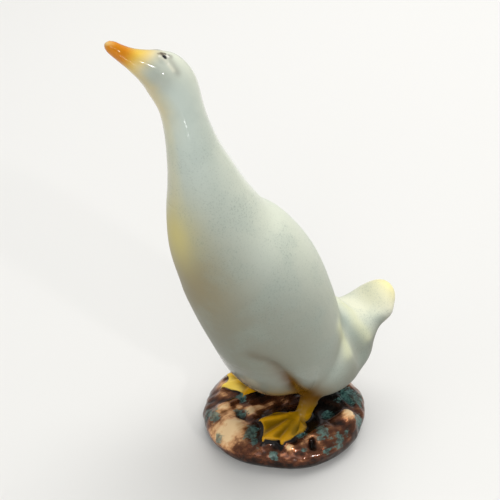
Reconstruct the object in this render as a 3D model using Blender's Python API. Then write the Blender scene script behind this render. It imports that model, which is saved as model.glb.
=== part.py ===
"""Goose figurine: a slip-cast, glazed ceramic goose that stands upright on an oval rock mound.

One cast piece, so one solid. Metres, +Z up. The origin is the centre of the flat underside, the goose
looks along -Y and its left side is towards +X. The bird's own heights are measured from the rock's top,
and its places are written as (side, forward, up) in millimetres.
"""

import math

import bmesh
import bpy
from mathutils import Matrix, Vector

MM = 0.001
SIDES = (1, -1)  # the bird's left and right

# rock mound
ROCK_LENGTH = 47.0 * MM
ROCK_WIDTH = 44.5 * MM
ROCK_HEIGHT = 9.0 * MM
ROCK_SIDES = 120
ROCK_STEPS = 44
VENT_DIAMETER = 5.0 * MM  # casting vent in the underside
VENT_DEPTH = 5.0 * MM
VENT_BACK = 7.0 * MM

# webbed feet and legs
FOOT_THICKNESS = 1.0 * MM  # web above the rock
TOE_HEIGHT = 0.8 * MM  # toe above the web
TOE_ROOT_WIDTH = 3.2 * MM
TOE_TIP_WIDTH = 1.8 * MM
INSTEP_RISE = 1.5 * MM  # how much the foot rises towards the leg
INSTEP_REACH = 4.2 * MM  # how far out from the leg that rise fades
FOOT_SINK = 2.5 * MM  # how far a foot goes into the rock under it
ANKLE_DIAMETER = 4.4 * MM
LEG_DIAMETER = 7.0 * MM  # where the leg meets the thigh
LEG_HEIGHT = 10.5 * MM
LEG_LEAN = 4.6 * MM  # how far back the leg's top stands from its ankle

# head
EYE_DIAMETER = 1.6 * MM
EYE_SPREAD = 4.6 * MM  # between the middles of the two eyes
EYE_FORWARD = 0.3  # from the middle of the crown
EYE_RISE = 4.0
EYE_SOCKET = 2.6 * MM
EYE_LIFT = 0.9 * MM

# softness of the cast edges and the fineness of the finished skin
GRAIN = 0.45 * MM
GROUND_OFF = 0.25 * MM  # ground from the underside to leave it flat
REAR_SOFT_STEPS = 8
BIRD_SOFT_STEPS = 16
CREASE_SOFT_STEPS = 10
PIECE_SOFT_STEPS = 2
SKIN_FACETS = 11300

GLAZE_COLOUR = (0.66, 0.68, 0.58, 1.0)
GLAZE_ROUGHNESS = 0.15

# rings of the mound's side, from the underside up: share of its height, share of its plan size
ROCK_RINGS = (
    (0.0, 0.87), (0.10, 0.92), (0.26, 0.975), (0.44, 1.0), (0.62, 0.99), (0.78, 0.94),
    (0.91, 0.86), (0.98, 0.74), (1.03, 0.55), (1.05, 0.30), (1.06, 0.0),
)

# stations along the bird from belly to bill: forward, up, half depth in the side view, half width
CROWN = (33.1, 103.5, 5.2, 4.6)
BODY_STATIONS = (
    (-4.9, 9.2, 1.5, 1.5),
    (-4.8, 9.9, 7.0, 8.0),
    (-4.3, 11.8, 10.6, 11.8),
    (-2.6, 15.4, 14.2, 14.8),
    (1.4, 22.2, 17.1, 16.8),
    (5.5, 32.6, 17.8, 17.2),
    (10.0, 43.2, 17.8, 16.8),
    (15.0, 52.5, 16.4, 15.4),
    (19.5, 60.3, 13.7, 12.8),
    (22.4, 68.5, 11.1, 10.1),
    (24.4, 76.5, 8.5, 7.8),
    (26.1, 83.0, 6.6, 6.2),
    (27.6, 89.4, 5.4, 5.2),
    (28.9, 95.0, 5.0, 4.9),
    (30.5, 100.0, 5.5, 4.8),
    CROWN,
    (36.3, 105.6, 3.7, 3.7),
    (39.5, 107.6, 2.4, 2.8),
    (42.3, 109.6, 1.8, 2.3),
    (44.6, 111.5, 1.4, 1.8),
    (45.6, 112.2, 0.5, 0.8),
)

# stations of the tail from its root inside the rump to its tip:
# forward, up, half thickness, half width, how far its side edges droop
TAIL_STATIONS = (
    (-6.0, 17.0, 9.0, 9.0, 1.0),
    (-10.5, 19.6, 11.6, 12.0, 1.8),
    (-16.0, 20.2, 8.0, 12.0, 2.6),
    (-21.5, 20.7, 5.0, 10.4, 2.4),
    (-26.5, 22.7, 3.7, 8.9, 2.0),
    (-31.0, 25.3, 3.5, 7.3, 1.6),
    (-33.7, 26.6, 2.6, 5.3, 1.1),
    (-35.2, 27.0, 1.0, 2.4, 0.3),
)

# eggs that swell out of the bird: side, forward, up, then radii along X, Y and Z
RUMP = (0.0, -12.6, 14.4, 13.4, 14.7, 9.9)
THIGH = (6.6, -8.0, 14.4, 8.8, 13.0, 10.0)
CHEEK = (1.4, 33.6, 103.4, 3.5, 4.2, 4.0)

# the crease between belly and thigh, from the flank down to the leg: side, forward, up, radius of the hollow
THIGH_CREASE = (
    (12.0, 19.6, 28.9, 0.7),
    (14.2, 16.6, 27.8, 1.5),
    (15.5, 12.8, 24.6, 1.9),
    (15.9, 9.8, 20.6, 2.2),
    (15.2, 7.0, 16.0, 2.3),
    (12.6, 4.2, 10.6, 2.2),
)

# the hollow behind each wing's rear edge, from the back down to the flank, where it opens and fades
WING_HOLLOW = (
    (0.0, -16.9, 29.2, 0.6),
    (2.2, -16.0, 28.7, 1.1),
    (4.9, -15.4, 27.6, 1.6),
    (7.5, -15.2, 26.2, 2.1),
    (9.9, -15.5, 24.0, 2.6),
    (11.6, -16.5, 21.2, 3.0),
    (13.2, -17.8, 18.0, 3.4),
    (15.0, -19.2, 14.8, 3.8),
)

# the fold over each cheek, from behind the eye down to the neck
CHEEK_FOLD = (
    (2.4, 32.4, 107.4, 0.5),
    (3.0, 32.0, 106.8, 0.7),
    (3.5, 31.8, 106.1, 0.7),
    (4.0, 31.5, 105.3, 0.6),
    (4.3, 31.2, 104.5, 0.35),
)

# feet: where the leg stands (side, back), the way the middle toe points (degrees outwards)
LEFT_FOOT = (9.6, -0.9, 12.2)
RIGHT_FOOT = (10.0, 0.3, 8.7)
# each toe: degrees outwards from the middle toe, length
TOES = ((-31.5, 12.2), (0.0, 15.2), (20.2, 12.9))
WEB_SCALLOP = 2.2 * MM
WEB_SIDE = 22.0  # degrees of web beyond the outer toes
WEB_BACK = 0.5  # length of the web's back edge, as a share of the outer toe beside it
FOOT_FAN = 36
FOOT_RINGS = 14
FOOT_EDGE = 0.85  # share of the foot's length from which it falls towards its edge
FOOT_FALL = 0.35  # share of a toe's height lost at the edge

# relief of the rock's top: place, rise or fall of the middle, half length, half width, degrees from +X
ROCK_RELIEF = (
    (15.6, 10.8, 2.2, 4.2, 2.0, 72.0),
    (17.4, 1.6, 1.5, 4.4, 2.0, 80.0),
    (17.8, -9.4, 1.1, 2.8, 0.9, 78.0),
    (-4.8, -17.6, 1.3, 5.4, 1.2, 97.0),
    (4.0, -18.6, 0.9, 5.2, 2.4, 12.0),
    (-12.6, -13.4, 0.9, 4.2, 2.0, 140.0),
    (-17.4, 4.0, 1.3, 4.8, 1.8, 95.0),
    (-11.0, 14.6, 1.2, 4.6, 2.0, 140.0),
    (0.6, 19.0, 1.2, 4.8, 1.9, 4.0),
    (-3.6, 9.4, 0.7, 3.4, 1.8, 60.0),
    (1.2, -14.4, -1.6, 2.4, 1.2, 10.0),
    (19.4, -3.2, -2.2, 1.2, 0.8, 60.0),
    (0.6, -4.8, -1.5, 5.0, 3.2, 78.0),
    (15.2, -3.0, -1.0, 3.4, 0.9, 84.0),
    (12.0, 7.4, -1.4, 3.2, 2.0, 100.0),
    (8.7, 15.4, -1.6, 3.2, 0.8, 8.0),
    (-15.6, -4.0, -1.2, 3.2, 1.1, 80.0),
    (-13.0, 9.0, -1.3, 3.0, 1.4, 130.0),
    (-5.8, 17.6, -1.4, 2.2, 1.0, 30.0),
    (-0.8, 13.6, -1.1, 2.8, 1.6, 20.0),
)
RELIEF_FROM = 0.45  # share of the mound's height above which its relief grows
ROCK_WAVES = ((3, 0.014, 0.6), (5, 0.010, 2.0), (8, 0.006, 4.1))  # lobes round the mound, share, start

BODY_SIDES = 40
BODY_RINGS = 70
TAIL_SIDES = 28
TAIL_RINGS = 30
TAIL_SQUARENESS = 1.8  # 2 is an ellipse


def new_mesh_object(name, bm):
    bmesh.ops.recalc_face_normals(bm, faces=bm.faces)
    mesh = bpy.data.meshes.new(name)
    bm.to_mesh(mesh)
    bm.free()
    obj = bpy.data.objects.new(name, mesh)
    bpy.context.scene.collection.objects.link(obj)
    return obj


def on_rock(side, forward, up):
    """A place given in millimetres from the middle of the rock's top."""
    return Vector((side * MM, -forward * MM, ROCK_HEIGHT + up * MM))


def smooth_rows(rows, steps):
    """Rows of numbers read from a smooth curve through the given ones, evenly along it."""
    rows = [Vector(row) for row in rows]
    rows = [rows[0] * 2 - rows[1]] + rows + [rows[-1] * 2 - rows[-2]]
    fine = []
    for k in range(1, len(rows) - 2):
        a, b, c, d = rows[k - 1:k + 3]
        for i in range(24):
            t = i / 24
            fine.append(0.5 * (2 * b + (c - a) * t + (2 * a - 5 * b + 4 * c - d) * t**2
                               + (3 * b - a - 3 * c + d) * t**3))
    fine.append(rows[-2])
    along = [0.0]
    for a, b in zip(fine, fine[1:]):
        along.append(along[-1] + (b - a).length)
    result = []
    k = 0
    for i in range(steps + 1):
        wanted = along[-1] * i / steps
        while k < len(along) - 2 and along[k + 1] < wanted:
            k += 1
        share = (wanted - along[k]) / max(along[k + 1] - along[k], 1e-9)
        result.append(fine[k].lerp(fine[k + 1], min(max(share, 0.0), 1.0)))
    return result


def skin_between(bm, loops):
    """Quads between closed loops of points, with a lid on each end."""
    sides = len(loops[0])
    for a, b in zip(loops, loops[1:]):
        for i in range(sides):
            j = (i + 1) % sides
            bm.faces.new((a[i], a[j], b[j], b[i]))
    bm.faces.new(list(reversed(loops[0])))
    bm.faces.new(loops[-1])


def loft(name, stations, rings, sides, roundness=2.0):
    """A closed skin through sections that stand square to their own spine in the side view."""
    rows = smooth_rows(stations, rings)
    bm = bmesh.new()
    loops = []
    for k, row in enumerate(rows):
        before = rows[max(k - 1, 0)]
        after = rows[min(k + 1, len(rows) - 1)]
        run = Vector((0.0, before[0] - after[0], after[1] - before[1])).normalized()
        square = Vector((0.0, -run.z, run.y))
        across = square * row[2] * MM
        sideways = Vector((row[3] * MM, 0.0, 0.0))
        droop = -square * (row[4] * MM if len(row) > 4 else 0.0)
        centre = on_rock(0.0, row[0], row[1])
        loop = []
        for i in range(sides):
            turn = 2 * math.pi * i / sides
            c, s = math.cos(turn), math.sin(turn)
            c = math.copysign(abs(c) ** (2 / roundness), c)
            s = math.copysign(abs(s) ** (2 / roundness), s)
            loop.append(bm.verts.new(centre + across * c + sideways * s + droop * s * s))
        loops.append(loop)
    skin_between(bm, loops)
    return new_mesh_object(name, bm)


def egg(name, centre, radii, turn=0.0, fineness=4):
    bm = bmesh.new()
    bmesh.ops.create_icosphere(bm, subdivisions=fineness, radius=1.0)
    shape = Matrix.Rotation(math.radians(turn), 4, "Z") @ Matrix.Diagonal((*radii, 1.0))
    bm.transform(Matrix.Translation(centre) @ shape)
    return new_mesh_object(name, bm)


def swelling(name, numbers, side=1):
    across, forward, up, *radii = numbers
    return egg(name, on_rock(side * across, forward, up), [r * MM for r in radii])


def tapered_tube(name, path, radii, steps=24, sides=12):
    """A closed tube along a smooth curve through the path's places, with a radius at each."""
    rows = smooth_rows([(*place, radius) for place, radius in zip(path, radii)], steps)
    bm = bmesh.new()
    loops = []
    for k, row in enumerate(rows):
        before = rows[max(k - 1, 0)].xyz
        after = rows[min(k + 1, len(rows) - 1)].xyz
        turn = (after - before).to_track_quat("Z", "Y")
        loop = []
        for i in range(sides):
            angle = 2 * math.pi * i / sides
            spoke = Vector((math.cos(angle), math.sin(angle), 0.0)) * row.w
            loop.append(bm.verts.new(row.xyz + turn @ spoke))
        loops.append(loop)
    skin_between(bm, loops)
    return new_mesh_object(name, bm)


def evaluated(obj):
    """The object with its modifiers applied."""
    bpy.context.view_layer.update()
    graph = bpy.context.evaluated_depsgraph_get()
    mesh = bpy.data.meshes.new_from_object(obj.evaluated_get(graph))
    obj.modifiers.clear()
    obj.data = mesh
    return obj


def carve(host, cutters):
    for cutter in cutters:
        cut = host.modifiers.new("carve", "BOOLEAN")
        cut.operation = "DIFFERENCE"
        cut.solver = "MANIFOLD"
        cut.object = cutter
    evaluated(host)
    for cutter in cutters:
        bpy.data.objects.remove(cutter)
    return host


def fused(name, parts, soft_steps):
    """Overlapping shapes as one skin, whose inner corners are filled and whose edges are softened."""
    bm = bmesh.new()
    for part in parts:
        bm.from_mesh(part.data)
        bpy.data.objects.remove(part)
    mesh = bpy.data.meshes.new(name)
    bm.to_mesh(mesh)
    bm.free()
    obj = bpy.data.objects.new(name, mesh)
    bpy.context.scene.collection.objects.link(obj)
    remesh = obj.modifiers.new("one skin", "REMESH")
    remesh.mode = "VOXEL"
    remesh.voxel_size = GRAIN
    soft = obj.modifiers.new("cast edges", "SMOOTH")
    soft.factor = 0.5
    soft.iterations = soft_steps
    return evaluated(obj)


def relief(x, y):
    """How far the rock's top rises or falls at a place."""
    rise = 0.0
    for px, py, height, half_length, half_width, turn in ROCK_RELIEF:
        c, s = math.cos(math.radians(turn)), math.sin(math.radians(turn))
        dx, dy = x / MM - px, y / MM - py
        along = (dx * c + dy * s) / half_length
        across = (dy * c - dx * s) / half_width
        rise += height * MM * math.exp(-(along**2 + across**2) ** 1.3)
    return rise


def rock():
    """The mound as rings from the flat underside over its side to the middle of its top, with its relief."""
    rings = smooth_rows(ROCK_RINGS, ROCK_STEPS)
    bm = bmesh.new()
    loops = []
    for height, size in rings[:-1]:
        loop = []
        for i in range(ROCK_SIDES):
            turn = 2 * math.pi * i / ROCK_SIDES
            wave = 1 + sum(share * math.sin(lobes * turn + start) for lobes, share, start in ROCK_WAVES)
            x = ROCK_WIDTH / 2 * size * wave * math.cos(turn)
            y = ROCK_LENGTH / 2 * size * wave * math.sin(turn)
            lifted = min(max(height - RELIEF_FROM, 0.0) / (1 - RELIEF_FROM), 1.0)
            loop.append(bm.verts.new((x, y, height * ROCK_HEIGHT + lifted * relief(x, y))))
        loops.append(loop)
    skin_between(bm, loops)
    return new_mesh_object("rock", bm)


def foot(name, place, side):
    """A webbed foot as a low relief: a fan of web with three raised toes and a scalloped edge."""
    across, back, outwards = place
    heel = Vector((side * across * MM, back * MM, 0.0))
    first, last = TOES[0][0] - WEB_SIDE, TOES[-1][0] + WEB_SIDE
    top, base = ROCK_HEIGHT + FOOT_THICKNESS, ROCK_HEIGHT - FOOT_SINK

    def reach(angle):
        for (a, near), (b, far) in zip(TOES, TOES[1:]):
            if a <= angle <= b:
                share = (angle - a) / (b - a)
                bow = (4 * share * (1 - share)) ** 0.6
                return (near + (far - near) * share) * MM - WEB_SCALLOP * bow
        edge = TOES[0] if angle < TOES[0][0] else TOES[-1]
        past = abs(angle - edge[0]) / WEB_SIDE
        return edge[1] * MM * (1 - (1 - WEB_BACK) * past**0.8)

    def ridge(angle, distance):
        rise = 0.0
        for toe, length in TOES:
            off = distance * math.radians(angle - toe)
            share = min(distance / (length * MM), 1.0)
            width = TOE_ROOT_WIDTH + (TOE_TIP_WIDTH - TOE_ROOT_WIDTH) * share
            rise = max(rise, TOE_HEIGHT * math.exp(-(2 * off / width) ** 2))
        return rise

    bm = bmesh.new()
    rows = []
    for i in range(FOOT_FAN + 1):
        angle = first + (last - first) * i / FOOT_FAN
        way = math.radians(outwards + angle)
        ray = Vector((side * math.sin(way), -math.cos(way), 0.0))
        row = []
        for k in range(1, FOOT_RINGS + 1):
            share = k / FOOT_RINGS
            distance = reach(angle) * share
            rim = 1 - FOOT_FALL * max(share - FOOT_EDGE, 0.0) / (1 - FOOT_EDGE)
            slope = INSTEP_RISE * math.exp(-(distance / INSTEP_REACH) ** 2)
            height = top + max(ridge(angle, distance) * rim, slope)
            row.append(bm.verts.new(heel + ray * distance + Vector((0.0, 0.0, height))))
        rows.append(row)
    centre = bm.verts.new(heel + Vector((0.0, 0.0, top + INSTEP_RISE)))
    for a, b in zip(rows, rows[1:]):
        bm.faces.new((centre, a[0], b[0]))
        for k in range(FOOT_RINGS - 1):
            bm.faces.new((a[k], a[k + 1], b[k + 1], b[k]))
    rim = [centre] + rows[0] + [row[-1] for row in rows[1:-1]] + list(reversed(rows[-1]))
    below = [bm.verts.new((v.co.x, v.co.y, base)) for v in rim]
    for i in range(len(rim)):
        j = (i + 1) % len(rim)
        bm.faces.new((rim[i], rim[j], below[j], below[i]))
    bm.faces.new(below)
    return new_mesh_object(name, bm)


def leg(name, place, side):
    across, back, outwards = place
    ankle = Vector((side * across * MM, back * MM, ROCK_HEIGHT - FOOT_SINK / 2))
    rise = Vector((0.0, LEG_LEAN, LEG_HEIGHT + FOOT_SINK / 2))
    path = [ankle + rise * share for share in (0.0, 0.3, 0.6, 1.0)]
    radii = (ANKLE_DIAMETER * 0.6, ANKLE_DIAMETER / 2, ANKLE_DIAMETER * 0.58, LEG_DIAMETER / 2)
    return tapered_tube(name, path, radii, 12, 20)


def crease(name, rows, side):
    """A cutter for a soft groove: a tube that lies half out of the skin."""
    places = [on_rock(side * across, forward, up) for across, forward, up, _ in rows]
    return tapered_tube(name, places, [row[3] * MM for row in rows])


def eye(name, diameter, lift, side):
    """A ball at one side of the crown, lifted out of the head by a share of its size."""
    forward, up = CROWN[:2]
    outwards = Vector((side * EYE_SPREAD / 2, 0.0, EYE_SPREAD / 3)).normalized()
    middle = on_rock(0.0, forward + EYE_FORWARD, up + EYE_RISE) + Vector((side * EYE_SPREAD / 2, 0.0, 0.0))
    return egg(name, middle + outwards * lift, [diameter / 2] * 3, fineness=3)


def bird():
    """Body, tail, rump, thighs and cheeks in one soft skin, then its creases and the eye sockets."""
    tail = loft("tail", TAIL_STATIONS, TAIL_RINGS, TAIL_SIDES, TAIL_SQUARENESS)
    rear = fused("rear", [tail, swelling("rump", RUMP)], REAR_SOFT_STEPS)
    body = loft("body", BODY_STATIONS, BODY_RINGS, BODY_SIDES)
    swellings = [swelling("thigh", THIGH, side) for side in SIDES]
    swellings += [swelling("cheek", CHEEK, side) for side in SIDES]
    whole = fused("bird", [body, rear] + swellings, BIRD_SOFT_STEPS)
    cutters = [crease("thigh crease", THIGH_CREASE, side) for side in SIDES]
    cutters += [crease("wing hollow", WING_HOLLOW, side) for side in SIDES]
    cutters += [crease("cheek fold", CHEEK_FOLD, side) for side in SIDES]
    whole = fused("bird", [carve(whole, cutters)], CREASE_SOFT_STEPS)
    return carve(whole, [eye("socket", EYE_SOCKET, EYE_LIFT, side) for side in SIDES])


def finish(obj):
    """The glazed skin in as many facets as it needs, a ground underside and the casting vent."""
    fewer = obj.modifiers.new("facets", "DECIMATE")
    fewer.ratio = SKIN_FACETS / (2 * len(obj.data.polygons))
    evaluated(obj)
    bm = bmesh.new()
    bm.from_mesh(obj.data)
    ground = bmesh.ops.bisect_plane(
        bm, geom=bm.verts[:] + bm.edges[:] + bm.faces[:],
        plane_co=(0.0, 0.0, GROUND_OFF), plane_no=(0.0, 0.0, -1.0), clear_outer=True,
    )
    rim = [item for item in ground["geom_cut"] if isinstance(item, bmesh.types.BMEdge)]
    bmesh.ops.contextual_create(bm, geom=rim)
    bm.transform(Matrix.Translation((0.0, 0.0, -GROUND_OFF)))
    bm.to_mesh(obj.data)
    bm.free()
    bm = bmesh.new()
    bmesh.ops.create_cone(
        bm, cap_ends=True, segments=20, radius1=VENT_DIAMETER / 2, radius2=VENT_DIAMETER / 2,
        depth=2 * VENT_DEPTH,
    )
    bm.transform(Matrix.Translation((0.0, VENT_BACK, 0.0)))
    return carve(obj, [new_mesh_object("vent", bm)])


def glaze():
    """A clear-glazed cream body colour."""
    material = bpy.data.materials.new("white glaze")
    material.use_nodes = True
    shader = material.node_tree.nodes["Principled BSDF"]
    shader.inputs["Base Color"].default_value = GLAZE_COLOUR
    shader.inputs["Roughness"].default_value = GLAZE_ROUGHNESS
    return material


def main():
    for obj in list(bpy.data.objects):
        bpy.data.objects.remove(obj)
    parts = [rock(), bird()] + [eye("eye", EYE_DIAMETER, 0.0, side) for side in SIDES]
    for name, place, side in (("left", LEFT_FOOT, 1), ("right", RIGHT_FOOT, -1)):
        parts.append(foot(name + " foot", place, side))
        parts.append(leg(name + " leg", place, side))
    goose = fused("goose_figurine", parts, PIECE_SOFT_STEPS)
    finish(goose)
    goose.data.materials.append(glaze())
    goose.data.shade_smooth()


main()
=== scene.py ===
import math

import bpy
import numpy as np
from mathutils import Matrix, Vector, noise


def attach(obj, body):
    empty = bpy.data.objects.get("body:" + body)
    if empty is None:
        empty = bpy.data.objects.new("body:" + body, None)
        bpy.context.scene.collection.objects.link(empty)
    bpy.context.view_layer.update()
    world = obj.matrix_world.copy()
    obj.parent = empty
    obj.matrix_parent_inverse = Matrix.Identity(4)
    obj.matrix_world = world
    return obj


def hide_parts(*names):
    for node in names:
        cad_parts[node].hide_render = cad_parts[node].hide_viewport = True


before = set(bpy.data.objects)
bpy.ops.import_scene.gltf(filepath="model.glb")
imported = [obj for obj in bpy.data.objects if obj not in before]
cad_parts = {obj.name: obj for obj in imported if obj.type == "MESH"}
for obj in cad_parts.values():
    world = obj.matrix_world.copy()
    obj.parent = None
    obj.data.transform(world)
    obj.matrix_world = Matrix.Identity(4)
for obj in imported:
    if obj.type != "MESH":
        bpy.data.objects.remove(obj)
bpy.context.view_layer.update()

MM = 0.001

# Places, lengths and reaches are in millimetres, as on the solid. The goose faces -y, and +x is its left side.
SKIN_GRAIN = 0.46  # size of the finished skin's facets
SKIN_ROUNDS = 45
ROCK_TOP = 9.0
BELLY_LINE = 13.4  # height that parts the rock from the bird
BELLY_FADE = 0.3

# feet: side, heel's place, and degrees that the middle toe turns outwards
FEET = ((1, (9.6, -0.9), 12.2), (-1, (10.0, 0.3), 8.7))
TOE_ANGLES = (-31.5, 0.0, 20.2)  # from the middle toe, towards the outside
TOE_LENGTHS = (12.2, 15.2, 12.9)
TOE_WIDTH = 0.75
TOE_RISE = 0.3
TOE_WAVES = 5.5  # half waves of knuckles along a toe
WEB_SINK = 0.18
WEB_SCALLOP = 2.2  # how far the web's front edge swings back between two toes
WEB_SIDE = 22.0  # degrees of web outside the first and the last toe
WEB_BACK = 0.5
HEEL_WEB = 34.0  # degrees by which the outer web is wider close to the heel
HEEL_WEB_TOP = 10.1
HEEL_WEB_DROP = 0.8
OUTER_WEB = (13.6, -5.5, 9.8)

# legs: heights, and the leg's radius and its lean backwards at each
LEG_HEIGHTS = (7.8, 11.3, 14.8, 19.5)
LEG_RADII = (2.7, 2.3, 2.7, 3.6)
LEG_LEAN = (0.0, 1.4, 2.8, 4.6)
LEG_TOP = (16.5, 20.5)  # the ochre of the legs fades into the white between these heights
ANKLE = (12.0, 13.5)  # below these heights the soft instep counts as leg

# head
HEAD_PLACE = (0.0, -34.0, 114.0)
BILL_TIP = np.array((0.0, -45.6, 121.2))
BILL_AXIS = np.array((0.0, -0.816, 0.579))
CHEEK = (3.9, -36.4, 112.8)
EYE_PLACE = (2.08, -33.4, 116.2)
EYE_RADIUS = 0.62
EYE_RIM = 1.15
EYE_RIM_RISE = 0.12
CHEEK_GROOVE = ((2.5, -32.2, 116.3), (3.1, -31.9, 115.6), (3.7, -31.6, 114.6), (4.2, -31.2, 113.4))
CHEEK_RIDGE = ((2.7, -34.0, 116.3), (3.2, -33.4, 115.7), (3.7, -32.9, 114.9), (4.1, -32.3, 113.9))
CHEEK_RISE = 0.16

# breast and thighs
BREAST_BLUSH = (1.25, -34.0, 73.7)
BREAST_SHADE = (4.3, -29.5, 60.8)
THIGH_SIDE = (16.2, 2.5, 28.0)
# the crease in front of each thigh, down to the leg's root, painted in the glaze's brown with painted shade
THIGH_CREASE = (
    (12.6, -18.2, 39.0), (13.6, -15.7, 37.9), (14.2, -14.2, 36.9), (14.5, -12.4, 34.6),
    (14.3, -9.6, 31.2), (14.0, -7.1, 27.6), (12.4, -3.9, 22.3), (11.4, -1.0, 18.4),
)
CREASE_DEPTH = 0.75
LEG_ROOT = (10.8, -0.9, 18.6)
# behind each wing: the hollow, painted grey as shade, and the ridges on either side of it, painted cream as
# highlights
REAR_HOLLOW = (
    (7.0, 13.0, 37.0), (6.7, 15.1, 32.9), (8.3, 16.5, 30.7),
    (9.3, 17.7, 28.5), (10.3, 18.9, 25.9), (11.0, 19.5, 23.0),
)
REAR_RIDGES = (
    ((1.5, 17.2, 36.4), (3.2, 18.3, 34.4), (6.3, 18.3, 32.5), (8.0, 19.4, 31.0), (9.8, 20.6, 28.4)),
    ((12.6, 8.4, 38.6), (10.9, 11.1, 33.0), (12.1, 11.3, 30.5), (13.2, 11.2, 28.6)),
)
REAR_RIDGE_RISES = ((0.4, 1.6), (0.3, 1.8))  # of the two ridges: rise, reach
HOLLOW_RISE = 0.3
FOLD_REACH = 5.0  # how far from these folds the skin is melted
MELT_ROUNDS = 110

# tail
TAIL_ROOT = (0.0, 16.4, 37.5)
TAIL_SADDLE = (0.0, 24.6, 36.0)
SADDLE_DROP = 1.8
TAIL_NOTCH = (8.8, 26.0, 30.6)
TAIL_SIDE = (6.0, 32.4, 34.6)
TAIL_TIP = (0.0, 34.0, 36.8)

# bright and dark places in the lustre, mostly painted reflections and highlights where bright and painted shade
# and shadows where dark: place, reach, gain
LUSTRE_PLACES = (
    (2.0, -21.5, 6.5, 7.5, 0.32), (3.0, -20.5, 8.0, 4.6, 0.36), (6.6, -21.0, 7.0, 3.0, 0.15),
    (4.2, -16.5, 9.0, 2.2, 0.15), (-3.5, -18.0, 9.3, 2.4, 0.35), (-2.7, -13.6, 9.0, 1.4, 0.5),
    (-8.8, -13.4, 9.0, 1.8, 0.25), (17.2, -9.4, 8.3, 1.2, 0.5), (14.5, -13.5, 7.9, 1.0, 0.3),
    (15.7, 11.0, 9.8, 2.0, 0.65), (18.2, -5.6, 7.9, 1.5, 0.2), (17.8, -2.6, 8.6, 2.0, 0.2),
    (18.6, 3.6, 8.0, 2.2, 0.1), (-3.6, -5.4, 9.0, 1.8, -0.3), (7.1, 6.8, 9.1, 3.4, -0.4),
    (6.0, 13.4, 8.8, 4.0, -0.45), (13.3, -1.0, 9.0, 1.8, -0.4), (11.3, 1.9, 9.6, 2.4, -0.3),
    (13.6, 9.4, 9.0, 1.2, -0.35), (3.3, -12.2, 8.7, 1.0, -0.3), (-13.0, -12.0, 9.0, 3.5, 0.4),
    (-18.0, 4.0, 8.5, 4.0, 0.4), (2.0, 20.0, 7.5, 4.0, 0.35),
)
# the painted reflection that shines in the valley between the feet
VALLEY_SHINE = ((0.2, -11.5, 8.9), (-0.4, -8.5, 8.4), (-0.2, -6.0, 7.9), (-0.2, -3.0, 8.0), (1.1, -0.5, 8.5))
# green patches in the lustre: place on the rock, reach
GREEN_PATCHES = (
    (-3.9, -20.8, 8.0, 2.2), (-5.8, -21.6, 6.8, 2.2), (-5.6, -11.4, 9.2, 2.0), (-0.4, -14.2, 8.2, 1.8),
    (7.0, -14.8, 8.7, 1.6), (8.8, -16.2, 8.3, 1.8), (10.6, -16.6, 7.8, 1.5), (16.4, -13.5, 6.3, 1.3),
    (15.0, -4.4, 8.2, 1.8), (17.9, 0.8, 9.3, 2.2), (11.6, 6.8, 7.8, 2.0), (20.9, 4.3, 6.7, 2.2),
    (8.3, 17.1, 8.2, 3.8), (19.5, -6.3, 7.3, 1.2), (17.0, 14.5, 6.5, 2.4), (21.6, 0.4, 5.4, 1.4),
    (19.6, 8.0, 7.0, 1.3), (3.4, -23.2, 5.6, 1.6), (-17.5, 8.0, 6.5, 3.2), (-9.0, 18.0, 7.5, 3.0),
    (-19.0, -6.0, 6.0, 2.8),
)
# dents and lumps of the rock that the cast shows sharper than the solid: place from above, reach, rise
ROCK_MARKS = (
    (18.4, -2.7, 0.8, -1.6), (-0.4, -14.2, 1.5, -0.9), (15.6, 10.8, 2.2, 0.5), (-5.6, -17.6, 1.6, 0.5),
    (17.4, -9.2, 1.2, 0.45), (14.6, -12.4, 1.4, -0.5), (2.0, -9.0, 2.2, -0.5), (1.0, -2.0, 2.6, -0.5),
)
# the rock's roughness: size, height
ROCK_CHISEL = (5.5, 0.5)
ROCK_PITTING = (2.2, 0.22)


def srgb(red, green, blue):
    """A colour given as the eye reads it, 0 to 255, as the linear values of the shader."""
    shares = [value / 255 for value in (red, green, blue)]
    return [s / 12.92 if s <= 0.04045 else ((s + 0.055) / 1.055) ** 2.4 for s in shares] + [1.0]


# the glaze of the bird: its airbrushed colours, and the colours of its painted light and shade
CELADON = srgb(203, 214, 204)
CLOUD_GREY = srgb(160, 176, 168)
SPECK_GREY = srgb(112, 124, 116)
# painted highlight: cream on convex forms, on the tail's top and along the cheeks' ridges
HIGHLIGHT_CREAM = srgb(243, 239, 216)
# painted light: white on the faces turned up and back
TOP_LIGHT_WHITE = srgb(220, 224, 205)
# painted shade: grey on the faces turned down and on the lower rear
BELLY_SHADE_GREY = srgb(136, 136, 122)
# ochre with painted shade under the belly between the legs
BELLY_OCHRE_AND_SHADE = srgb(132, 98, 34)
THROAT_YELLOW = srgb(232, 222, 172)
BREAST_YELLOW = srgb(216, 202, 128)
# tan with painted shade on the lower breast
BREAST_TAN_AND_SHADE = srgb(152, 138, 104)
TAIL_YELLOW = srgb(250, 236, 150)
# painted shade in the hollow behind each wing, in the glaze's blue-grey
HOLLOW_SHADE_GREY = srgb(164, 175, 164)
# painted light on the bulge of each thigh
THIGH_PAINTED_LIGHT = srgb(176, 182, 170)
# painted highlight: cream along the rear ridges
RIDGE_HIGHLIGHT_CREAM = srgb(224, 224, 184)
# brown glaze with painted shade in the creases, at the leg roots and up the legs
BROWN_GLAZE_AND_SHADE = srgb(92, 58, 4)
# head
BILL_ORANGE = srgb(216, 132, 0)
BILL_YELLOW = srgb(236, 196, 74)
BILL_EDGE = srgb(244, 216, 140)
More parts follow.
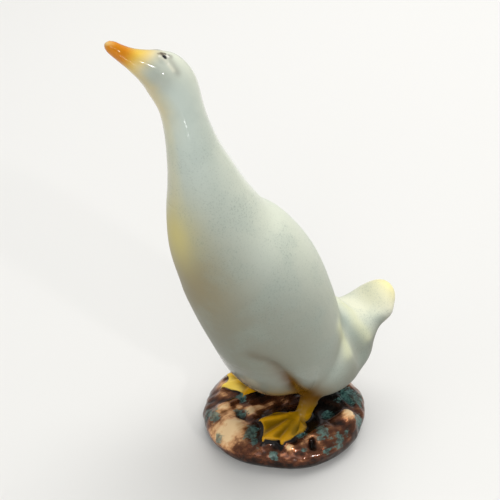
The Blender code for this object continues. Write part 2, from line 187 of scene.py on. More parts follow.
# painted shade in grey on the cheeks, in the grooves and round the eyes, and painted glints in white by the
# eyes
CHEEK_SHADE_GREY = srgb(144, 144, 128)
LID_SHADE_GREY = srgb(112, 104, 92)
EYE_GLINT_WHITE = srgb(244, 240, 228)
PUPIL_BLACK = srgb(14, 12, 11)
PUPIL_BROWN = srgb(44, 34, 26)
# feet
FOOT_OCHRE = srgb(168, 124, 4)
# gold, painted as highlights on the feet's edges and the toes' ridges
TOE_GOLD_HIGHLIGHT = srgb(208, 152, 16)
LIT_GOLD = srgb(255, 222, 100)
# olive of the web and the legs, also painted shade in the feet's hollows
OLIVE_AND_HOLLOW_SHADE = srgb(112, 84, 6)
WEB_SHADE = srgb(104, 90, 30)
# rock: the lustre from dark to bright, and the green patches
DARK_GROUND = srgb(34, 24, 14)
LUSTRE_STOPS = (
    (0.0, srgb(12, 8, 6)), (0.2, srgb(46, 28, 20)), (0.4, srgb(100, 58, 38)),
    (0.6, srgb(154, 102, 68)), (0.8, srgb(228, 172, 120)), (1.0, srgb(255, 218, 166)),
)
PATINA_DARK = srgb(30, 62, 62)
PATINA_PALE = srgb(92, 132, 124)
# studio
STUDIO_AIR = srgb(235, 238, 240)
FLOOR_GREY = srgb(172, 170, 166)
FLOOR_PALE = srgb(228, 226, 222)

# the painted eye: place, reach, share and colour of each soft mark. The grey marks are painted shade in the
# socket and behind the eye, the white ones are painted glints and a painted highlight under the eye, the brown
# arc above is the lid with its painted shade, and the last is the dark eye.
EYE_MARKS = (
    ((1.9, -34.0, 116.2), 2.2, 0.2, LID_SHADE_GREY),
    ((1.9, -31.6, 116.5), 1.0, 0.4, LID_SHADE_GREY),
    ((1.6, -33.3, 117.0), 1.3, 0.5, srgb(128, 112, 90)),
    ((2.8, -33.8, 115.5), 0.7, 0.75, EYE_GLINT_WHITE),
    ((3.1, -33.1, 115.1), 0.6, 0.75, EYE_GLINT_WHITE),
    ((2.1, -34.4, 116.5), 0.6, 0.8, EYE_GLINT_WHITE),
    ((1.9, -32.4, 116.4), 0.6, 0.8, EYE_GLINT_WHITE),
    ((1.5, -34.3, 117.0), 0.5, 0.5, srgb(96, 78, 58)),
    ((1.5, -33.5, 117.0), 0.65, 0.75, srgb(66, 52, 38)),
    ((1.4, -32.7, 116.9), 0.5, 0.6, srgb(84, 68, 52)),
    ((1.7, -32.0, 116.6), 0.5, 0.5, srgb(100, 84, 66)),
    (EYE_PLACE, 0.85, 0.9, srgb(40, 30, 22)),
)


def deselect():
    for obj in bpy.context.selected_objects:
        obj.select_set(False)


def activate(obj):
    """Makes this object the only selected one, and the one that operators act on."""
    deselect()
    obj.select_set(True)
    bpy.context.view_layer.objects.active = obj


def apply_modifier(obj, kind, **settings):
    """Adds one modifier with these settings and applies it."""
    activate(obj)
    bpy.ops.object.modifier_add(type=kind)
    modifier = obj.modifiers[-1]
    for name, value in settings.items():
        setattr(modifier, name, value)
    bpy.ops.object.modifier_apply(modifier=modifier.name)


def places(obj):
    """The points of a mesh, in millimetres, and their normals."""
    count = len(obj.data.vertices)
    points = np.empty(count * 3)
    normals = np.empty(count * 3)
    obj.data.vertices.foreach_get("co", points)
    obj.data.vertices.foreach_get("normal", normals)
    return points.reshape(-1, 3) / MM, normals.reshape(-1, 3)


def both_sides(points):
    """The points with those of the right side mirrored to the left."""
    return np.abs(points) * (1, 0, 0) + points * (0, 1, 1)


def move_points(obj, points):
    obj.data.vertices.foreach_set("co", (points * MM).astype(np.float32).ravel())
    obj.data.update()


def between(low, high, values):
    """0 at low, 1 at high, and a soft step from one to the other; low may be the larger number."""
    share = np.clip((values - low) / (high - low), 0.0, 1.0)
    return share * share * (3 - 2 * share)


def near(points, place, reach, squash=(1, 1, 1)):
    """1 at a place, falling softly to 0 past its reach, which is longer along an axis that is squashed."""
    away = np.linalg.norm((points - np.array(place)) * squash, axis=1)
    return np.exp(-(away / reach) ** 2)


def beside(points, path, reach):
    """1 on a path through these places, falling softly to 0 past its reach."""
    away = np.full(len(points), np.inf)
    for start, end in zip(np.array(path), np.array(path[1:])):
        run = end - start
        share = np.clip((points - start) @ run / (run @ run), 0.0, 1.0)
        away = np.minimum(away, np.linalg.norm(points - start - share[:, None] * run, axis=1))
    return np.exp(-(away / reach) ** 2)


def foot_places(points, side, heel, outwards):
    """How far points are inside a foot's edge, seen from above, and their angle and distance from its heel."""
    across = points[:, 0] * side - heel[0]
    forward = heel[1] - points[:, 1]
    angle = np.degrees(np.arctan2(across, forward)) - outwards
    distance = np.hypot(across, forward)
    reach = np.interp(angle, TOE_ANGLES, TOE_LENGTHS)
    for first, last in zip(TOE_ANGLES, TOE_ANGLES[1:]):
        share = np.clip((angle - first) / (last - first), 0.0, 1.0)
        reach -= WEB_SCALLOP * (4 * share * (1 - share)) ** 0.6
    outer_side = WEB_SIDE + HEEL_WEB * between(8.0, 4.0, distance)
    past = np.maximum((TOE_ANGLES[0] - angle) / WEB_SIDE, (angle - TOE_ANGLES[-1]) / outer_side)
    reach *= 1 - (1 - WEB_BACK) * np.clip(past, 0.0, 1.0) ** 0.8
    from_sides = (1.0 - past) * math.radians(WEB_SIDE) * distance
    return np.minimum(reach - distance, from_sides), angle, distance


def leg_reach(points, side, heel):
    """How far each point is inside a leg."""
    height = points[:, 2]
    back = heel[1] + np.interp(height, LEG_HEIGHTS, LEG_LEAN)
    away = np.hypot(points[:, 0] * side - heel[0], points[:, 1] - back)
    return np.interp(height, LEG_HEIGHTS, LEG_RADII) - away


def leg_mask(points):
    """1 on the legs, fading out where they meet the white of the thighs."""
    height = points[:, 2]
    leg = np.zeros(len(points))
    for side, heel, _ in FEET:
        inside = leg_reach(points, side, heel) + between(*reversed(ANKLE), height)
        leg = np.maximum(leg, between(-0.7, 0.3, inside))
    return leg * between(ROCK_TOP + 0.4, ROCK_TOP + 1.0, height) * between(*reversed(LEG_TOP), height)


def foot_mask(points):
    """1 on the feet, 0 on the rock and the bird."""
    mask = np.zeros(len(points))
    low = between(ROCK_TOP - 0.5, ROCK_TOP + 0.1, points[:, 2]) * (points[:, 2] < BELLY_LINE)
    for side, heel, outwards in FEET:
        inside, _, _ = foot_places(points, side, heel, outwards)
        mask = np.maximum(mask, low * between(-0.2, 0.2, inside))
        mask = np.maximum(mask, low * between(-0.2, 0.2, leg_reach(points, side, heel)))
    return mask


def bird_mask(points):
    """1 on the bird, 0 on the rock and the feet."""
    return between(BELLY_LINE - BELLY_FADE, BELLY_LINE + BELLY_FADE, points[:, 2])


def edges_of(obj):
    """The pairs of points that each edge joins, and how many edges meet at each point."""
    edges = np.empty(len(obj.data.edges) * 2, np.int32)
    obj.data.edges.foreach_get("vertices", edges)
    return edges.reshape(-1, 2), np.bincount(edges, minlength=len(obj.data.vertices)).astype(float)


def neighbour_mean(values, edges, counts):
    """The mean of the values over the points that each point is joined to."""
    total = np.zeros_like(values)
    for axis in range(values.shape[1]):
        total[:, axis] = np.bincount(edges[:, 0], values[edges[:, 1], axis], len(values))
        total[:, axis] += np.bincount(edges[:, 1], values[edges[:, 0], axis], len(values))
    return total / counts[:, None]


def bulge(obj, rounds):
    """How far each point stands out of the skin around it: above 0 on edges, below 0 in hollows."""
    points, normals = places(obj)
    edges, counts = edges_of(obj)
    mean = points.copy()
    for _ in range(rounds):
        mean = neighbour_mean(mean, edges, counts)
    return np.einsum("ij,ij->i", points - mean, normals)


def soften(obj, weights, rounds, pulls=(0.6, -0.63)):
    """Smooths the skin by these weights. The two pulls, in and out again, keep its forms from shrinking."""
    points, _ = places(obj)
    edges, counts = edges_of(obj)
    for _ in range(rounds):
        for pull in pulls:
            points += (neighbour_mean(points, edges, counts) - points) * (pull * weights)[:, None]
    move_points(obj, points)


def cast_skin():
    """The solid goose as one fine skin, soft on the bird and crisper on the feet and the rock."""
    goose = bpy.data.objects.new("cast_goose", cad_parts["goose_figurine"].data.copy())
    goose.data.materials.clear()
    bpy.context.scene.collection.objects.link(goose)
    activate(goose)
    bpy.ops.object.mode_set(mode="EDIT")
    bpy.ops.mesh.select_all(action="SELECT")
    bpy.ops.mesh.remove_doubles(threshold=0.001 * MM)
    bpy.ops.object.mode_set(mode="OBJECT")
    apply_modifier(goose, "REMESH", mode="VOXEL", voxel_size=SKIN_GRAIN * MM)
    points, _ = places(goose)
    bird = bird_mask(points) * (1 - 0.6 * near(both_sides(points), EYE_PLACE, 1.5))
    soften(goose, np.maximum(bird, 0.35), SKIN_ROUNDS)
    return goose


def melt_folds(goose):
    """The folds of thighs, rear and cheeks, rounded as thick glaze rounds them, and pressed in again softly."""
    points, _ = places(goose)
    mirrored = both_sides(points)
    weights = np.maximum(beside(mirrored, THIGH_CREASE, FOLD_REACH), beside(mirrored, REAR_HOLLOW, FOLD_REACH))
    weights = np.maximum(weights, 0.35 * beside(mirrored, CHEEK_GROOVE, 2.0)) * bird_mask(points - (0, 0, 1.5))
    leg = np.maximum.reduce([leg_reach(points, side, heel) for side, heel, _ in FEET])
    weights *= 1 - between(-1.5, 0.5, leg)
    soften(goose, weights, MELT_ROUNDS, pulls=(0.6,))
    points, normals = places(goose)
    mirrored = both_sides(points)
    rise = -CREASE_DEPTH * beside(mirrored, THIGH_CREASE, 1.5) * between(39.5, 34.0, points[:, 2])
    rise += HOLLOW_RISE * beside(mirrored, REAR_HOLLOW, 2.2)
    for ridge, (height, reach) in zip(REAR_RIDGES, REAR_RIDGE_RISES):
        rise += height * beside(mirrored, ridge, reach)
    move_points(goose, points + normals * (rise * bird_mask(points))[:, None])


def sculpt_head(goose):
    """The fold between crown and cheek, and the raised rim of each eye."""
    points, normals = places(goose)
    mirrored = both_sides(points)
    rise = CHEEK_RISE * beside(mirrored, CHEEK_RIDGE, 0.7)
    from_eye = np.linalg.norm(mirrored - np.array(EYE_PLACE), axis=1)
    rise += EYE_RIM_RISE * np.exp(-((from_eye - EYE_RIM) / 0.3) ** 2)
    move_points(goose, points + normals * rise[:, None])


def sculpt_tail(goose):
    """The saddle between the back and the tail's raised tip, and the notch where the tail leaves the rump."""
    points, normals = places(goose)
    side = np.sign(points[:, :1]) * (1, 0, 0) + (0, 1, 1)
    top = between(0.2, 0.7, normals[:, 2])
    points[:, 2] += top * near(points, TAIL_ROOT, 3.4, (0.6, 1, 1))
    points[:, 2] -= SADDLE_DROP * top * near(points, TAIL_SADDLE, 3.8, (0.6, 1, 1))
    notch = near(both_sides(points), TAIL_NOTCH, 3.0)[:, None]
    flank = near(both_sides(points), TAIL_SIDE, 3.0)[:, None]
    points += side * (notch * (-1.3, -0.9, 0.9) + flank * (-0.4, -0.7, 0.0))
    move_points(goose, points)


def sculpt_feet(goose):
    """Toe ridges with knuckles, a web that sinks between them, and the outer web's run into the heel."""
    points, normals = places(goose)
    up = between(0.3, 0.7, normals[:, 2])
    web_end = TOE_ANGLES[-1] + WEB_SIDE
    for side, heel, outwards in FEET:
        inside, angle, distance = foot_places(points, side, heel, outwards)
        run = between(web_end - 8.0, web_end - 2.0, angle) * between(0.0, 0.7, inside)
        run *= between(0.5, 1.5, distance) * (points[:, 0] * side > 0) * (points[:, 2] > ROCK_TOP - 1)
        run_top = HEEL_WEB_TOP - HEEL_WEB_DROP * between(web_end, web_end + HEEL_WEB, angle)
        points[:, 2] += run * np.maximum(run_top - points[:, 2], 0.0)
        on_web = between(0.0, 0.6, inside) * up * (points[:, 2] > ROCK_TOP - 1) * (points[:, 2] < BELLY_LINE)
        away_from_leg = between(2.6, 5.5, distance)
        toes = np.zeros(len(points))
        for toe, length in zip(TOE_ANGLES, TOE_LENGTHS):
            off_toe = np.radians(angle - toe) * distance
            knuckles = 0.75 + 0.25 * np.cos(distance / length * TOE_WAVES * math.pi)
            toes = np.maximum(toes, np.exp(-(off_toe / TOE_WIDTH) ** 2) * knuckles)
        points[:, 2] += on_web * away_from_leg * (TOE_RISE * toes - WEB_SINK)
    move_points(goose, points)


def sculpt_rock(goose):
    """The rock's dents, lumps and chisel marks, away from the feet and the flat underside."""
    points, normals = places(goose)
    bare = (1 - bird_mask(points)) * (1 - foot_mask(points)) * between(1.5, 4.0, points[:, 2])
    rise = np.zeros(len(points))
    for x, y, reach, height in ROCK_MARKS:
        away = np.hypot(points[:, 0] - x, points[:, 1] - y) / reach
        rise += height * np.exp(-away ** 2 * 1.4) * (normals[:, 2] > 0)
    chisel_size, chisel_height = ROCK_CHISEL
    pit_size, pit_height = ROCK_PITTING
    for k in np.nonzero(bare > 0.01)[0]:
        place = Vector(points[k])
        rise[k] += chisel_height * noise.noise(place / chisel_size)
        rise[k] += pit_height * noise.noise(place / pit_size + Vector((7.0, 0.0, 0.0)))
    move_points(goose, points + normals * (bare * rise)[:, None])


def eye_bead(side):
    """The raised, painted eye, as a bead that is half sunk in the head."""
    deselect()
    x, y, z = EYE_PLACE
    bpy.ops.mesh.primitive_uv_sphere_add(segments=32, ring_count=20, radius=EYE_RADIUS * MM,
                                         location=(side * x * MM, y * MM, z * MM))
    bead = bpy.context.active_object
    bead.name = "eye_left" if side > 0 else "eye_right"
    bpy.ops.object.transform_apply(location=True, rotation=True, scale=True)
    bpy.ops.object.shade_smooth()
    return bead


def tinted(colours, tint, share):
    """The colours moved towards a tint by a share at each point."""
    return colours + (np.array(tint) - colours) * np.clip(share, 0.0, 1.0)[:, None]


def paint_bird(points, normals, form):
    """The airbrushed glaze: celadon with its yellow places, painted highlights in cream on edges and on the
    tail's top, painted light in white on top and in pale grey on the thighs, painted shade in grey below, in
    the hollows and on the lower breast, and brown and ochre with painted shade in the creases and between the
    legs.
    """
    _, y, z = points.T
    mirrored = both_sides(points)
    back = between(-0.2, 0.9, 0.55 * normals[:, 1] + 0.8 * normals[:, 2])
    below = between(88.0, 44.0, z + 0.5 * y) * between(0.85, -0.3, normals[:, 2])
    throat = between(0.75, 1.0, -normals[:, 1]) * between(56.0, 66.0, z)
    rear = between(4.0, 14.0, y) * between(36.0, 24.0, z)
    tail = between(17.0, 24.0, y)
    tip = near(mirrored, TAIL_TIP, 3.6, (0.5, 1, 1))
    crease = beside(mirrored, THIGH_CREASE, 2.0) * (0.3 + 0.7 * between(38.0, 26.0, z))
    between_legs = between(0.0, -0.7, normals[:, 2]) * between(27.0, 20.0, z) * between(8.0, 1.0, y)

    colours = np.tile(np.array(CELADON), (len(points), 1))
    # painted light: the faces turned up and back are whiter
    colours = tinted(colours, TOP_LIGHT_WHITE, back)
    # painted shade: grey on the faces turned down, more towards the bottom
    colours = tinted(colours, BELLY_SHADE_GREY, 0.95 * below)
    colours = tinted(colours, THROAT_YELLOW, 0.4 * throat)
    # tan on the lower breast, with painted shade
    colours = tinted(colours, BREAST_TAN_AND_SHADE, 0.75 * near(mirrored, BREAST_SHADE, 9.0, (0.7, 1, 0.6)))
    colours = tinted(colours, BREAST_YELLOW, 0.8 * near(points, BREAST_BLUSH, 5.8, (0.8, 1, 0.7)))
    # painted shade in the hollow behind each wing
    colours = tinted(colours, HOLLOW_SHADE_GREY, 0.8 * beside(mirrored, REAR_HOLLOW, 3.0))
    # painted shade on the lower rear
    colours = tinted(colours, BELLY_SHADE_GREY, 0.7 * rear)
    # painted light on the bulge of each thigh
    colours = tinted(colours, THIGH_PAINTED_LIGHT, 0.5 * near(mirrored, THIGH_SIDE, 8.0))
    # painted highlights in cream along the rear ridges
    for ridge in REAR_RIDGES:
        colours = tinted(colours, RIDGE_HIGHLIGHT_CREAM, 0.65 * beside(mirrored, ridge, 2.0) * between(25.0, 30.0, z))
    # painted highlights: cream on convex forms and on the tail's top
    colours = tinted(colours, HIGHLIGHT_CREAM, 0.3 * between(0.5, 1.4, form) + 0.5 * tail * between(31.0, 34.0, z))
    colours = tinted(colours, TAIL_YELLOW, 0.6 * tip + 0.15 * tail * between(31.0, 35.0, z))
    # brown glaze with painted shade in the thigh creases
    colours = tinted(colours, BROWN_GLAZE_AND_SHADE, crease)
    # ochre with painted shade on the faces turned down between the legs
    colours = tinted(colours, BELLY_OCHRE_AND_SHADE, 0.8 * between_legs)
    # brown glaze with painted shade at each leg's root
    colours = tinted(colours, BROWN_GLAZE_AND_SHADE, near(mirrored, LEG_ROOT, 4.6))
    return paint_head(points, normals, colours)


def paint_head(points, normals, colours):
    """The orange bill with its pale rim, the yellow that runs down the chin, painted shade on the cheeks and
    round the eyes, and a painted highlight along each cheek's ridge.
    """
    x, _, z = points.T
    mirrored = both_sides(points)
    behind = -(points - BILL_TIP) @ BILL_AXIS
    chin = between(0.1, -0.5, normals[:, 2]) * between(0.2, 0.9, -normals[:, 1]) * between(88.0, 108.0, z)
    bill_root = between(13.5, 6.5, behind + 0.5 * np.abs(x) - 1.2 * normals[:, 2])
    bill = between(8.4, 4.4, behind + 0.2 * np.abs(x))
    rim = between(1.2, 0.2, behind) + 0.6 * between(0.3, 0.9, normals[:, 2]) * between(2.6, 0.6, behind)

    # painted shade in grey on the cheek and in the groove behind the eye, and a painted highlight in cream
    # along the cheek's ridge
    colours = tinted(colours, CHEEK_SHADE_GREY, 0.55 * near(mirrored, CHEEK, 3.4))
    colours = tinted(colours, LID_SHADE_GREY, 0.4 * beside(mirrored, CHEEK_GROOVE, 0.9))
    colours = tinted(colours, HIGHLIGHT_CREAM, 0.5 * beside(mirrored, CHEEK_RIDGE, 0.45))
    colours = tinted(colours, BILL_YELLOW, 0.45 * chin)
    colours = tinted(colours, BILL_YELLOW, bill_root)
    colours = tinted(colours, BILL_ORANGE, bill)
    return tinted(colours, BILL_EDGE, 0.8 * rim)


def paint_feet(points, edge):
    """Golden ochre toes, a darker olive web between them, painted highlights in gold on the edges, painted
    shade in olive in the hollows and in brown up the legs, and the far foot's toes painted as lit.
    """
    x, y, z = points.T
    colours = np.tile(np.array(FOOT_OCHRE), (len(points), 1))
    for side, heel, outwards in FEET:
        inside, angle, distance = foot_places(points, side, heel, outwards)
        off_toes = np.minimum.reduce([np.abs(np.radians(angle - toe)) * distance for toe in TOE_ANGLES])
        web = between(0.7, 1.7, off_toes) * between(0.2, 0.9, inside) * (x * side > 0)
        colours = tinted(colours, OLIVE_AND_HOLLOW_SHADE, 0.45 * web)
    far_toes = between(-6.0, -8.0, x) * between(-8.0, -11.0, y)
    # painted highlights in gold on the feet's edges, painted shade in olive in their hollows, and olive low on
    # the legs
    colours = tinted(colours, TOE_GOLD_HIGHLIGHT, 0.9 * between(0.03, 0.15, edge))
    colours = tinted(colours, OLIVE_AND_HOLLOW_SHADE, 0.5 * between(-0.02, -0.2, edge) + 0.75 * between(10.0, 12.0, z))
    colours = tinted(colours, WEB_SHADE, 0.5 * near(points, OUTER_WEB, 3.0))
    colours = tinted(colours, LIT_GOLD, 0.85 * far_toes)
    # brown glaze with painted shade up the legs, under the belly
    return tinted(colours, BROWN_GLAZE_AND_SHADE, 0.9 * between(11.5, 16.5, z))


def lustre_brightness(points, edge):
    """How bright the lustre is: painted highlights on edges and painted shade in hollows, painted shade towards
    the rock's foot, painted shadows beside the webs, and the places of painted reflection and shade.
    """
    z = points[:, 2]
    # painted highlights on edges, painted shade in hollows
    bright = 0.32 + 1.0 * np.clip(edge, -0.2, 0.2)
    # painted shade towards the rock's foot
    bright -= 0.34 * between(7.8, 3.0, z) + 0.3 * between(3.4, 0.8, z)
    # painted reflections and painted shade at the listed places
    for *place, reach, gain in LUSTRE_PLACES:
        bright += gain * near(points, place, reach)
    # the painted reflection in the valley between the feet
    bright += 0.6 * beside(points, VALLEY_SHINE, 1.4)
    # painted shadows just outside each web's edge
    for side, heel, outwards in FEET:
        inside, _, _ = foot_places(points, side, heel, outwards)
        bright -= 0.4 * between(-0.6, -0.15, inside) * (points[:, 0] * side > 0)
    return bright


def greenness(points):
    """1 in the middle of a green patch, 0 at its edge, and down to -1 away from all patches."""
    green = np.full(len(points), -1.0)
    for *place, reach in GREEN_PATCHES:
        green = np.maximum(green, 1.0 - np.linalg.norm(points - np.array(place), axis=1) / reach)
    return green


def glossiness(points, ochre, rock):
    """How wet the glaze looks: most on head, tail, thigh fronts and the top of the rock, least on the body."""
    _, y, z = points.T
    head = between(70.0, 90.0, z)
    thigh_front = between(36.0, 30.0, z) * between(2.0, -2.0, y)
    tail = between(26.0, 30.0, y)
    gloss = np.maximum(head, 0.7 * np.maximum(thigh_front, tail))
    gloss *= 1 - 0.6 * ochre * between(11.0, 10.0, z)
    return gloss + rock * (between(1.5, 6.5, z) - gloss)


def paint_glaze(goose):
    """The glaze's colour at each point, with its painted light and shade, and the values that the material
    reads for its gloss and its lustre, whose brightness holds painted reflections and shade.
    """
    points, normals = places(goose)
    edge = bulge(goose, 14)
    form = bulge(goose, 90)
    bird = bird_mask(points)
    ochre = np.maximum(foot_mask(points), leg_mask(points))
    rock = (1 - bird) * (1 - ochre)
    colours = tinted(paint_bird(points, normals, form), DARK_GROUND, 1 - bird)
    colours += (paint_feet(points, edge) - colours) * ochre[:, None]
    blue_to_red = colours[:, 2] / np.maximum(colours[:, 0], 0.01)
    # the glaze's colours, painted light and shade included
    write_attribute(goose, "glaze", colours)
    write_attribute(goose, "gloss", glossiness(points, ochre, rock))
    write_attribute(goose, "pale", between(0.35, 0.7, blue_to_red))
    write_attribute(goose, "rock", rock)
    # the lustre's brightness, with its painted reflections and shade
    write_attribute(goose, "bright", lustre_brightness(points, edge))
    write_attribute(goose, "green", greenness(points))


def write_attribute(obj, name, values):
    """Values at the points of a mesh, for its material to read."""
    if values.ndim == 2:
        attribute = obj.data.attributes.new(name, "FLOAT_COLOR", "POINT")
        attribute.data.foreach_set("color", values.astype(np.float32).ravel())
    else:
        attribute = obj.data.attributes.new(name, "FLOAT", "POINT")
        attribute.data.foreach_set("value", values.astype(np.float32))


class Shader:
    """A material's nodes, added and joined in one call each."""

    def __init__(self, name):
        self.material = bpy.data.materials.new(name)
        self.material.use_nodes = True
        self.tree = self.material.node_tree
        self.surface = self.tree.nodes["Principled BSDF"]
        coordinates = self.tree.nodes.new("ShaderNodeTexCoord")
        self.place = coordinates.outputs["Object"]

    def feed(self, socket, value):
        """A link where the value is another node's output, or else the number or colour itself."""
        if isinstance(value, bpy.types.NodeSocket):
            self.tree.links.new(value, socket)
        else:
            socket.default_value = value

    def node(self, kind, inputs, output=0, **settings):
        node = self.tree.nodes.new("ShaderNode" + kind)
        for name, value in settings.items():
            setattr(node, name, value)
        for name, value in inputs.items():
            self.feed(node.inputs[name], value)
        return node.outputs[output]

    def set(self, **inputs):
        """Feeds the surface's own sockets, named with underscores for spaces."""
        for name, value in inputs.items():
            self.feed(self.surface.inputs[name.replace("_", " ")], value)

    def attribute(self, name, output="Fac"):
        return self.node("Attribute", {}, output, attribute_name=name)

    def noise(self, size, detail=2.0, roughness=0.5, stretch=(1.0, 1.0, 1.0)):
        """A noise pattern of this size in millimetres."""
        scaled = self.node("Mapping", {"Vector": self.place, "Scale": stretch})
        return self.node("TexNoise", {"Vector": scaled, "Scale": 1 / (size * MM), "Detail": detail,
                                      "Roughness": roughness})

    def step(self, value, low, high, to_low=0.0, to_high=1.0):
        return self.node("MapRange", {"Value": value, "From Min": low, "From Max": high, "To Min": to_low,
                                      "To Max": to_high}, interpolation_type="SMOOTHSTEP")

    def math(self, operation, a, b):
        return self.node("Math", {0: a, 1: b}, operation=operation)

    def mix(self, share, a, b):
        """Colour a, moved to colour b by a share."""
        node = self.tree.nodes.new("ShaderNodeMix")
        node.data_type = "RGBA"
        self.feed(node.inputs[0], share)
        self.feed(node.inputs[6], a)
        self.feed(node.inputs[7], b)
        return node.outputs[2]

    def mix_value(self, share, a, b):
        """Number a, moved to number b by a share."""
        return self.node("Mix", {0: share, 2: a, 3: b}, data_type="FLOAT")

    def distance(self, place):
        """How far the surface is from a place, both in millimetres."""
        away = self.node("VectorMath", {0: self.place, 1: Vector(place) * MM}, "Value", operation="DISTANCE")
        return self.math("DIVIDE", away, MM)

    def ramp(self, value, stops):
        """The colour at a value between 0 and 1, through these places and colours."""
        node = self.tree.nodes.new("ShaderNodeValToRGB")
        self.feed(node.inputs[0], value)
        elements = node.color_ramp.elements
        while len(elements) < len(stops):
            elements.new(0.5)
        for element, (place, colour) in zip(elements, stops):
            element.position = place
            element.color = colour
        return node.outputs["Color"]


def painted_glaze():
    """White glaze with fine grey specks on the bird, ochre on the feet, and copper lustre on the rock."""
    shader = Shader("painted glaze")
    pale = shader.attribute("pale")
    cloud = shader.noise(7.0, 3.0)
    cloudy = shader.math("MULTIPLY", pale, shader.step(cloud, 0.42, 0.72, 0.0, 0.2))
    glaze = shader.mix(cloudy, shader.attribute("glaze", "Color"), CLOUD_GREY)

    grain = shader.noise(0.42, 2.0, 0.6)
    off_head = shader.step(shader.distance(HEAD_PLACE), 9.0, 30.0)
    specks = shader.math("MULTIPLY", shader.step(grain, 0.5, 0.72, 0.0, 0.3),
                         shader.step(cloud, 0.35, 0.65, 0.35, 1.0))
    specks = shader.math("MULTIPLY", specks, shader.math("MULTIPLY", off_head, pale))
    glaze = shader.mix(specks, glaze, SPECK_GREY)
    # the eye marks: painted shade, painted glints, a painted highlight, and the painted lid and eye
    for side in (1, -1):
        for place, reach, share, colour in EYE_MARKS:
            away = shader.distance(Vector(place) * Vector((side, 1, 1)))
            glaze = shader.mix(shader.step(away, reach, 0.4 * reach, 0.0, share), glaze, colour)

    lustre, metal = copper_lustre(shader)
    rock = shader.step(shader.attribute("rock"), 0.4, 0.6)
    gloss = shader.attribute("gloss")
    glaze_coat = shader.step(gloss, 0.0, 1.0, 0.05, 0.55)
    rock_coat = shader.step(gloss, 0.0, 1.0, 0.04, 0.34)
    streaks = shader.noise(0.8, 3.0, 0.6, (1.0, 0.35, 1.0))
    relief = shader.math("MULTIPLY", shader.step(rock, 0.0, 1.0, 0.03, 1.0), streaks)
    shader.set(
        Base_Color=shader.mix(rock, glaze, lustre),
        Metallic=shader.math("MULTIPLY", rock, metal),
        Roughness=shader.mix_value(rock, shader.step(gloss, 0.0, 1.0, 0.42, 0.14), 0.26),
        Specular_IOR_Level=0.12,
        Coat_Weight=shader.mix_value(rock, glaze_coat, rock_coat),
        Coat_Roughness=0.05,
        Coat_IOR=1.5,
        Normal=shader.node("Bump", {"Height": relief, "Strength": 0.3, "Distance": 0.1 * MM}, "Normal"),
    )
    return shader.material


def copper_lustre(shader):
    """The rock's colour and its share of metal: near black to peach copper, with matt green patches."""
    patches = shader.noise(6.5, 3.0, 0.55)
    blots = shader.noise(2.4, 3.0, 0.6)
    streaks = shader.noise(0.8, 4.0, 0.6, (1.0, 0.16, 1.0))
    # the lustre's brightness, with its painted reflections and shade
    level = shader.attribute("bright")
    for pattern, swing in ((patches, 0.1), (blots, 0.05), (streaks, 0.09)):
        level = shader.math("ADD", level, shader.step(pattern, 0.3, 0.7, -swing, swing))
    copper = shader.ramp(level, LUSTRE_STOPS)

    ragged = shader.math("ADD", shader.attribute("green"), shader.step(blots, 0.25, 0.75, -0.5, 0.5))
    ragged = shader.math("ADD", ragged, shader.step(streaks, 0.3, 0.7, -0.4, 0.4))
    green = shader.step(ragged, -0.05, 0.35)
    patina = shader.mix(shader.step(shader.noise(1.1, 4.0, 0.7), 0.35, 0.65), PATINA_DARK, PATINA_PALE)
    colour = shader.mix(shader.math("MULTIPLY", green, 0.8), copper, patina)

    dark_to_mid = shader.step(level, 0.1, 0.5, 0.25, 0.85)
    mid_to_bright = shader.step(level, 0.5, 0.9, 0.0, 0.55)
    metal = shader.math("SUBTRACT", dark_to_mid, mid_to_bright)
    return colour, shader.math("MULTIPLY", metal, shader.step(green, 0.0, 1.0, 1.0, 0.25))


def eye_paint():
    """Black with a trace of brown, under thick glaze."""
    shader = Shader("eye paint")
    brownish = shader.step(shader.noise(0.5, 2.0), 0.4, 0.8)
    shader.set(Base_Color=shader.mix(brownish, PUPIL_BLACK, PUPIL_BROWN),
               Roughness=0.08, Coat_Weight=0.8, Coat_Roughness=0.03)
    return shader.material


def pale_floor():
    """A floor that looks pale, also in the glaze, and throws the light of a grey one onto the goose."""
    deselect()
    bpy.ops.mesh.primitive_plane_add(size=6.0, location=(0.0, 0.0, 0.0))
    floor = bpy.context.active_object
    floor.name = "floor"
    shader = Shader("pale floor")
    path = shader.tree.nodes.new("ShaderNodeLightPath")
    seen = shader.math("MAXIMUM", path.outputs["Is Camera Ray"], path.outputs["Is Glossy Ray"])
    seen = shader.math("MAXIMUM", seen, path.outputs["Is Transmission Ray"])
    shader.set(Base_Color=shader.mix(seen, FLOOR_GREY, FLOOR_PALE), Roughness=0.9)
    floor.data.materials.append(shader.material)


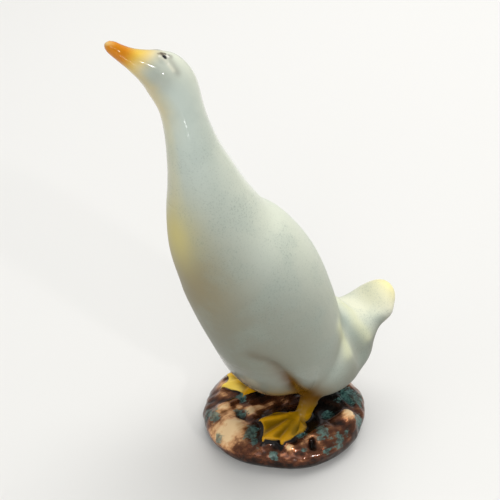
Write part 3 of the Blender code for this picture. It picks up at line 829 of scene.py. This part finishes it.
def soft_light(name, place, size, power, mirrored=True):
    """A square lamp that faces the goose, in metres and watts; the glaze mirrors it or only takes its light."""
    lamp = bpy.data.lights.new(name, "AREA")
    lamp.size = size
    lamp.energy = power
    obj = bpy.data.objects.new(name, lamp)
    bpy.context.scene.collection.objects.link(obj)
    obj.location = place
    obj.rotation_euler = (Vector((0.0, 0.0, 0.08)) - Vector(place)).to_track_quat("-Z", "Y").to_euler()
    obj.visible_glossy = mirrored


def studio():
    """Plain soft light from all round, and two small lamps that the glaze mirrors as highlights."""
    world = bpy.data.worlds.new("studio")
    bpy.context.scene.world = world
    world.use_nodes = True
    background = world.node_tree.nodes["Background"]
    background.inputs["Color"].default_value = STUDIO_AIR
    background.inputs["Strength"].default_value = 0.5
    soft_light("sky", (-0.3, 0.4, 0.95), size=1.1, power=10.5, mirrored=False)
    soft_light("room", (0.8, -0.5, 0.6), size=0.6, power=2.4)
    soft_light("fill", (0.05, -0.9, 0.15), size=0.6, power=1.8, mirrored=False)
    soft_light("lamp", (0.573, 0.041, 0.277), size=0.035, power=0.6)
    soft_light("glint", (0.166, -0.071, 0.014), size=0.014, power=0.008)
    bpy.context.scene.view_settings.view_transform = "Standard"


def photo_camera():
    """The photograph's viewpoint: close by, some 0.23 m away at the left front, looking down."""
    camera = bpy.data.cameras.new("camera")
    camera.sensor_width = 36.0
    camera.lens = 64.8
    camera.clip_start = 0.01
    obj = bpy.data.objects.new("camera", camera)
    bpy.context.scene.collection.objects.link(obj)
    obj.location = (0.1669, -0.1079, 0.1798)
    obj.rotation_euler = (math.radians(58.5), 0.0, math.radians(60.0))
    bpy.context.scene.camera = obj


def goose():
    """The glazed casting and its two painted eyes."""
    skin = cast_skin()
    melt_folds(skin)
    sculpt_head(skin)
    sculpt_tail(skin)
    sculpt_feet(skin)
    sculpt_rock(skin)
    paint_glaze(skin)
    skin.data.materials.append(painted_glaze())
    activate(skin)
    bpy.ops.object.shade_smooth()
    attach(skin, "root")
    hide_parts("goose_figurine")
    paint = eye_paint()
    for side in (1, -1):
        bead = eye_bead(side)
        bead.data.materials.append(paint)
        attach(bead, "root")


photo_camera()
studio()
pale_floor()
goose()
